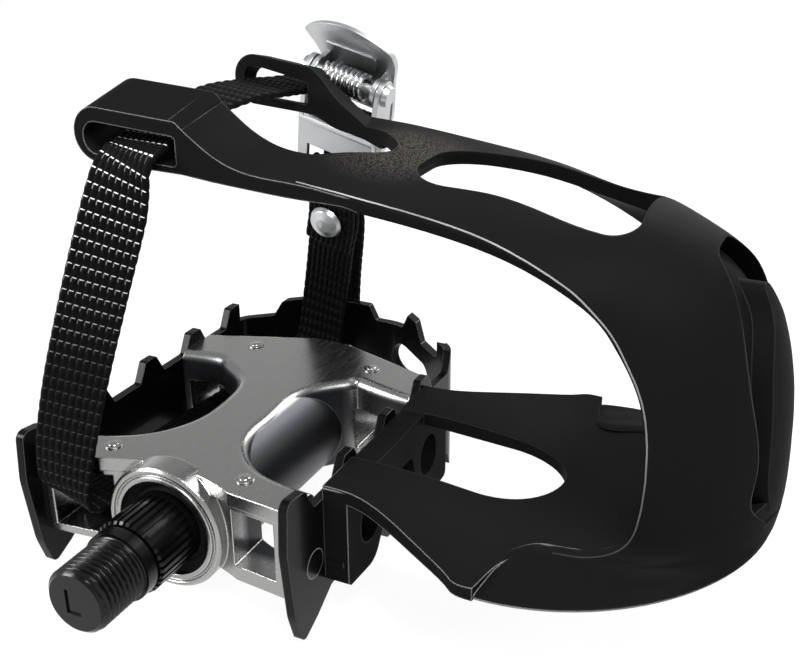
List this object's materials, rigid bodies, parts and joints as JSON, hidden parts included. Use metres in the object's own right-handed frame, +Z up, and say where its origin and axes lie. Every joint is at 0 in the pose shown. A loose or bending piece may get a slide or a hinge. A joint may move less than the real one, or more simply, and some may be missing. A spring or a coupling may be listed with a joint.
{
  "type": "bicycle toe clip pedal",
  "caption": "Left-hand quill-style bicycle pedal with a toothed cage, an arched toe clip and a webbing strap closed by a cam-lever buckle.",
  "frame": {"origin": "on the spindle axis at the shoulder that seats against the crank arm", "axes": "+X to the toe, +Y outboard along the spindle, +Z up"},
  "size_m": [0.1496, 0.1269, 0.1105],
  "materials": {
    "spindle_steel": "black oxide on turned steel",
    "black_sleeve": "moulded black",
    "seal_rubber": "matt",
    "bush_bronze": "sintered",
    "insert_brass": "turned",
    "polished_alloy": "polished casting",
    "cage_black": "gloss black enamel",
    "black_fastener": "black oxide",
    "clip_plastic": "matt moulded, fine grain",
    "strap_webbing": "woven nylon",
    "bright_plate": "bright nickel plate",
    "spring_steel": "bright wire"
  },
  "bodies": {
    "spindle": {"spindle": "spindle_steel", "thrust_washer": "spindle_steel", "lock_nut": "spindle_steel"},
    "pedal": {"lock_sleeve": "black_sleeve", "seal_ring": "seal_rubber", "inboard_bush": "bush_bronze", "outboard_bush": "bush_bronze", "dust_cap": "black_sleeve", "pedal_body": "polished_alloy", "cage": "cage_black", "cage_screws": "black_fastener", "toe_clip": "clip_plastic", "toe_clip_bolts": "black_fastener", "toe_clip_washers": "black_fastener", "toe_clip_inserts": "insert_brass", "strap": "strap_webbing", "strap_rivet": "bright_plate", "strap_rivet_burr": "bright_plate", "buckle_frame": "bright_plate", "lever_pin": "bright_plate", "lever_spring": "spring_steel", "roller_pin": "bright_plate"},
    "lever": {"buckle_lever": "bright_plate"},
    "roller": {"buckle_roller": "bright_plate"}
  },
  "joints": [
    {"name": "pedal_spin", "type": "hinge", "parent": "spindle", "child": "pedal", "pos_m": [0, 0.045, 0], "axis": [0, 1, 0], "continuous": true},
    {"name": "lever_turn", "type": "hinge", "parent": "pedal", "child": "lever", "pos_m": [0.0066, 0.088, 0.0796], "axis": [0.965, 0, -0.2622], "range_deg": [0, 25], "stiffness_Nm_per_rad": 0.06, "springref_deg": -28.65},
    {"name": "roller_spin", "type": "hinge", "parent": "pedal", "child": "roller", "pos_m": [0.00317, 0.09171, 0.06697], "axis": [0.965, 0, -0.2622], "continuous": true}
  ]
}
